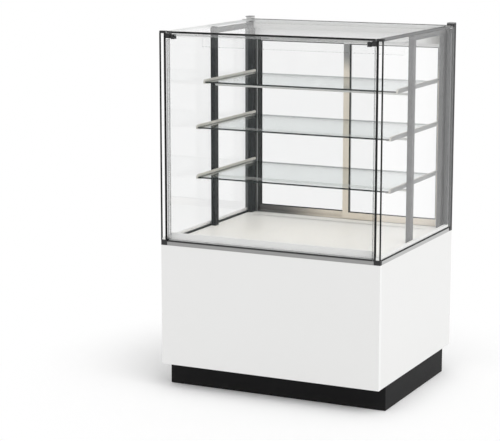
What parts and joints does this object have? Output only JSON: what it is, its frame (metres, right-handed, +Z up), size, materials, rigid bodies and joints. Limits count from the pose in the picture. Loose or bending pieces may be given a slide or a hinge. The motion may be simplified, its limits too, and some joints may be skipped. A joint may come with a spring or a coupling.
{
  "type": "refrigerated merchandiser",
  "caption": "Upright refrigerated display cabinet with a white base, black plinth, glazed case, glass shelves, lift-up front glass, sliding rear doors and a cooling unit below the deck.",
  "frame": {"origin": "on the floor, under the middle of the cabinet's footprint", "axes": "+X to the right of a customer facing the front, +Y towards the rear service side, +Z up"},
  "size_m": [0.9, 0.77, 1.39],
  "materials": {
    "white_laminate": "white laminated board, satin",
    "black_laminate": "black laminated board, satin",
    "zinc_steel": "zinc-plated sheet and tube",
    "service_grey": "grey powder coat",
    "stainless": "brushed stainless steel",
    "deck_paint": "light powder coat, satin",
    "frame_paint": "grey powder coat, satin",
    "motor_paint": "black enamel",
    "aluminium": "satin anodised",
    "fin_stock": "bare fins",
    "copper": "copper tube, lightly aged",
    "black_rubber": "matte",
    "black_plastic": "fine-grained",
    "foam_liner": "smooth liner over foam",
    "grey_plastic": "satin",
    "dark_window": "glossy smoked",
    "diffuser": "white diffuser",
    "clear_glass": "clear polished",
    "clear_plastic": "clear acrylic",
    "screw_steel": "bright zinc"
  },
  "bodies": {
    "cabinet": {"levelling_feet": "zinc_steel", "plinth_panels": "black_laminate", "base_plate": "zinc_steel", "chassis_frame": "zinc_steel", "front_panel": "white_laminate", "side_panels": "white_laminate", "rear_louvred_panel": "service_grey", "control_fascia": "service_grey", "control_housing": "black_plastic", "display_window": "dark_window", "cable_gland": "black_plastic", "insulated_well": "foam_liner", "drain_spout": "grey_plastic", "evaporation_tray": "stainless", "evaporator_coil": "fin_stock", "evaporator_fan_panel": "stainless", "evaporator_fan_motors": "motor_paint", "condenser_coil": "fin_stock", "condenser_shroud": "motor_paint", "condenser_fan_motor": "motor_paint", "compressor": "motor_paint", "compressor_mounts": "black_rubber", "refrigerant_pipes": "copper", "base_trim": "aluminium", "front_lip": "deck_paint", "air_grilles": "deck_paint", "deck_pans": "deck_paint", "side_glass": "clear_glass", "side_glass_spacers": "aluminium", "glass_seals": "black_rubber", "corner_caps": "black_plastic", "side_top_trims": "aluminium", "top_glass": "clear_glass", "rear_posts": "frame_paint", "door_jambs": "aluminium", "rear_header": "aluminium", "lower_track": "aluminium", "hinge_brackets": "black_plastic", "side_frames": "frame_paint", "lower_shelf": "clear_glass", "middle_shelf": "clear_glass", "upper_shelf": "clear_glass", "shelf_brackets": "frame_paint", "light_bars": "diffuser", "air_deflector": "clear_plastic", "panel_screws": "screw_steel"},
    "front_glass_unit": {"front_glass": "clear_glass", "front_glass_edging": "black_rubber", "hinge_clamps": "black_plastic"},
    "left_door": {"left_door_frame": "aluminium", "left_door_glass": "clear_glass"},
    "right_door": {"right_door_frame": "aluminium", "right_door_glass": "clear_glass"},
    "condenser_rotor": {"condenser_fan": "black_plastic"},
    "left_evaporator_rotor": {"left_evaporator_fan": "black_plastic"},
    "right_evaporator_rotor": {"right_evaporator_fan": "black_plastic"},
    "up_key": {"up_button": "grey_plastic"},
    "set_key": {"set_button": "grey_plastic"},
    "down_key": {"down_button": "grey_plastic"},
    "light_rocker": {"light_switch": "black_plastic"}
  },
  "joints": [
    {"name": "front_glass_lift", "type": "hinge", "parent": "cabinet", "child": "front_glass_unit", "pos_m": [0, -0.38, 1.363], "axis": [-1, 0, 0], "range_deg": [0, 80]},
    {"name": "left_door_slide", "type": "slide", "parent": "cabinet", "child": "left_door", "axis": [1, 0, 0], "range_m": [0, 0.403]},
    {"name": "right_door_slide", "type": "slide", "parent": "cabinet", "child": "right_door", "axis": [-1, 0, 0], "range_m": [0, 0.403]},
    {"name": "condenser_fan_spin", "type": "hinge", "parent": "cabinet", "child": "condenser_rotor", "pos_m": [-0.18, 0.284, 0.243], "axis": [0, 1, 0], "continuous": true},
    {"name": "left_evaporator_fan_spin", "type": "hinge", "parent": "cabinet", "child": "left_evaporator_rotor", "pos_m": [-0.186, -0.072, 0.471], "axis": [0, 1, 0], "continuous": true},
    {"name": "right_evaporator_fan_spin", "type": "hinge", "parent": "cabinet", "child": "right_evaporator_rotor", "pos_m": [0.186, -0.072, 0.471], "axis": [0, 1, 0], "continuous": true},
    {"name": "up_button_press", "type": "slide", "parent": "cabinet", "child": "up_key", "axis": [0, -1, 0], "range_m": [0, 0.001], "stiffness_N_per_m": 500},
    {"name": "set_button_press", "type": "slide", "parent": "cabinet", "child": "set_key", "axis": [0, -1, 0], "range_m": [0, 0.001], "stiffness_N_per_m": 500},
    {"name": "down_button_press", "type": "slide", "parent": "cabinet", "child": "down_key", "axis": [0, -1, 0], "range_m": [0, 0.001], "stiffness_N_per_m": 500},
    {"name": "light_switch_tip", "type": "hinge", "parent": "cabinet", "child": "light_rocker", "pos_m": [0.31, 0.3795, 0.48716], "axis": [-1, 0, 0], "range_deg": [0, 16]}
  ]
}
